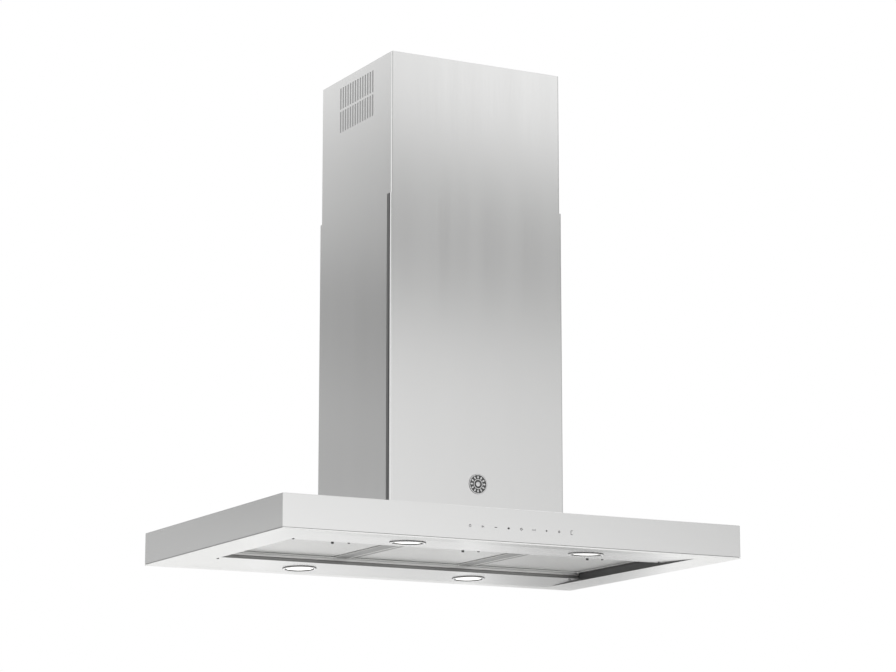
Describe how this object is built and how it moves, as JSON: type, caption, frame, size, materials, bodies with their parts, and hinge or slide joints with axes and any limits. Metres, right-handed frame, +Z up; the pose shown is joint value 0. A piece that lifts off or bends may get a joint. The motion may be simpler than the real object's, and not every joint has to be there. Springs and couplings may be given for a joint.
{
  "type": "island range hood",
  "caption": "Ceiling-hung island cooker hood: flat rectangular steel canopy with lamps and swing-down grease filters under a telescoping two-part chimney.",
  "frame": {"origin": "centre of the ceiling mounting face, on top of the ceiling plate", "axes": "+Z up, -Y towards the front with the touch controls, +X to the right seen from the front"},
  "size_m": [0.9, 0.6, 0.9006],
  "materials": {
    "brushed_steel": "fine brushed stainless steel",
    "satin_steel": "satin stainless steel",
    "galvanised_steel": "galvanised sheet, dull spangle",
    "duct_aluminium": "rolled aluminium sheet",
    "filter_frame_metal": "satin aluminium channel",
    "filter_mesh_metal": "layered expanded aluminium mesh",
    "lamp_bezel_metal": "bright bezel",
    "lamp_lens_glass": "frosted white lens",
    "badge_metal": "dark etched steel",
    "black_plastic": "moulded, fine texture",
    "flap_plastic": "thin moulded sheet",
    "white_plastic": "moulded, smooth",
    "motor_black": "black enamel",
    "circuit_board": "solder-masked board"
  },
  "bodies": {
    "ceiling_frame": {"ceiling_plate": "galvanised_steel", "upper_brace": "galvanised_steel", "upper_post_front_left": "galvanised_steel", "upper_post_front_right": "galvanised_steel", "upper_post_rear_left": "galvanised_steel", "upper_post_rear_right": "galvanised_steel", "upper_chimney_front": "brushed_steel", "upper_chimney_back": "brushed_steel", "duct_upper": "duct_aluminium"},
    "hood": {"canopy_shell": "brushed_steel", "underside_rim": "brushed_steel", "lamp_panel_front": "brushed_steel", "lamp_panel_rear": "brushed_steel", "filter_rail_left": "satin_steel", "filter_rail_right": "satin_steel", "frame_base": "galvanised_steel", "blower_plate": "galvanised_steel", "blower_housing": "galvanised_steel", "motor_bracket": "galvanised_steel", "damper_pin": "galvanised_steel", "lower_post_front_left": "galvanised_steel", "lower_post_front_right": "galvanised_steel", "lower_post_rear_left": "galvanised_steel", "lower_post_rear_right": "galvanised_steel", "duct_lower": "duct_aluminium", "lamp_housing_front_left": "lamp_bezel_metal", "lamp_housing_front_right": "lamp_bezel_metal", "lamp_housing_rear_left": "lamp_bezel_metal", "lamp_housing_rear_right": "lamp_bezel_metal", "lamp_lens_front_left": "lamp_lens_glass", "lamp_lens_front_right": "lamp_lens_glass", "lamp_lens_rear_left": "lamp_lens_glass", "lamp_lens_rear_right": "lamp_lens_glass", "inlet_ring_left": "black_plastic", "inlet_ring_right": "black_plastic", "outlet_collar": "black_plastic", "electronics_case": "black_plastic", "terminal_box": "black_plastic", "lamp_driver": "white_plastic", "blower_motor": "motor_black", "control_board": "circuit_board", "power_board": "circuit_board"},
    "lower_cover": {"lower_chimney_front": "brushed_steel", "lower_chimney_back": "brushed_steel", "badge": "badge_metal"},
    "impeller": {"impeller": "black_plastic"},
    "flap_left": {"damper_flap_left": "flap_plastic"},
    "flap_right": {"damper_flap_right": "flap_plastic"},
    "filter_left": {"filter_frame_left": "filter_frame_metal", "filter_mesh_left": "filter_mesh_metal"},
    "latch_left": {"filter_latch_left": "satin_steel"},
    "filter_centre": {"filter_frame_centre": "filter_frame_metal", "filter_mesh_centre": "filter_mesh_metal"},
    "latch_centre": {"filter_latch_centre": "satin_steel"},
    "filter_right": {"filter_frame_right": "filter_frame_metal", "filter_mesh_right": "filter_mesh_metal"},
    "latch_right": {"filter_latch_right": "satin_steel"}
  },
  "joints": [
    {"name": "height_adjust", "type": "slide", "parent": "ceiling_frame", "child": "hood", "axis": [0, 0, 1], "range_m": [-0.1, 0.06]},
    {"name": "cover_lift", "type": "slide", "parent": "hood", "child": "lower_cover", "axis": [0, 0, 1], "range_m": [0, 0.19]},
    {"name": "impeller_spin", "type": "hinge", "parent": "hood", "child": "impeller", "pos_m": [0, -0.04, -0.715], "axis": [1, 0, 0], "continuous": true},
    {"name": "flap_left_hinge", "type": "hinge", "parent": "hood", "child": "flap_left", "pos_m": [0, 0, -0.56], "axis": [0, 1, 0], "range_deg": [0, 75]},
    {"name": "flap_right_hinge", "type": "hinge", "parent": "hood", "child": "flap_right", "pos_m": [0, 0, -0.56], "axis": [0, -1, 0], "range_deg": [0, 75]},
    {"name": "filter_left_hinge", "type": "hinge", "parent": "hood", "child": "filter_left", "pos_m": [-0.2575, 0.141, -0.885], "axis": [1, 0, 0], "range_deg": [0, 75]},
    {"name": "latch_left_slide", "type": "slide", "parent": "filter_left", "child": "latch_left", "axis": [0, 1, 0], "range_m": [0, 0.005], "stiffness_N_per_m": 300, "springref_m": -0.003},
    {"name": "filter_centre_hinge", "type": "hinge", "parent": "hood", "child": "filter_centre", "pos_m": [0, 0.141, -0.885], "axis": [1, 0, 0], "range_deg": [0, 75]},
    {"name": "latch_centre_slide", "type": "slide", "parent": "filter_centre", "child": "latch_centre", "axis": [0, 1, 0], "range_m": [0, 0.005], "stiffness_N_per_m": 300, "springref_m": -0.003},
    {"name": "filter_right_hinge", "type": "hinge", "parent": "hood", "child": "filter_right", "pos_m": [0.2575, 0.141, -0.885], "axis": [1, 0, 0], "range_deg": [0, 75]},
    {"name": "latch_right_slide", "type": "slide", "parent": "filter_right", "child": "latch_right", "axis": [0, 1, 0], "range_m": [0, 0.005], "stiffness_N_per_m": 300, "springref_m": -0.003}
  ]
}
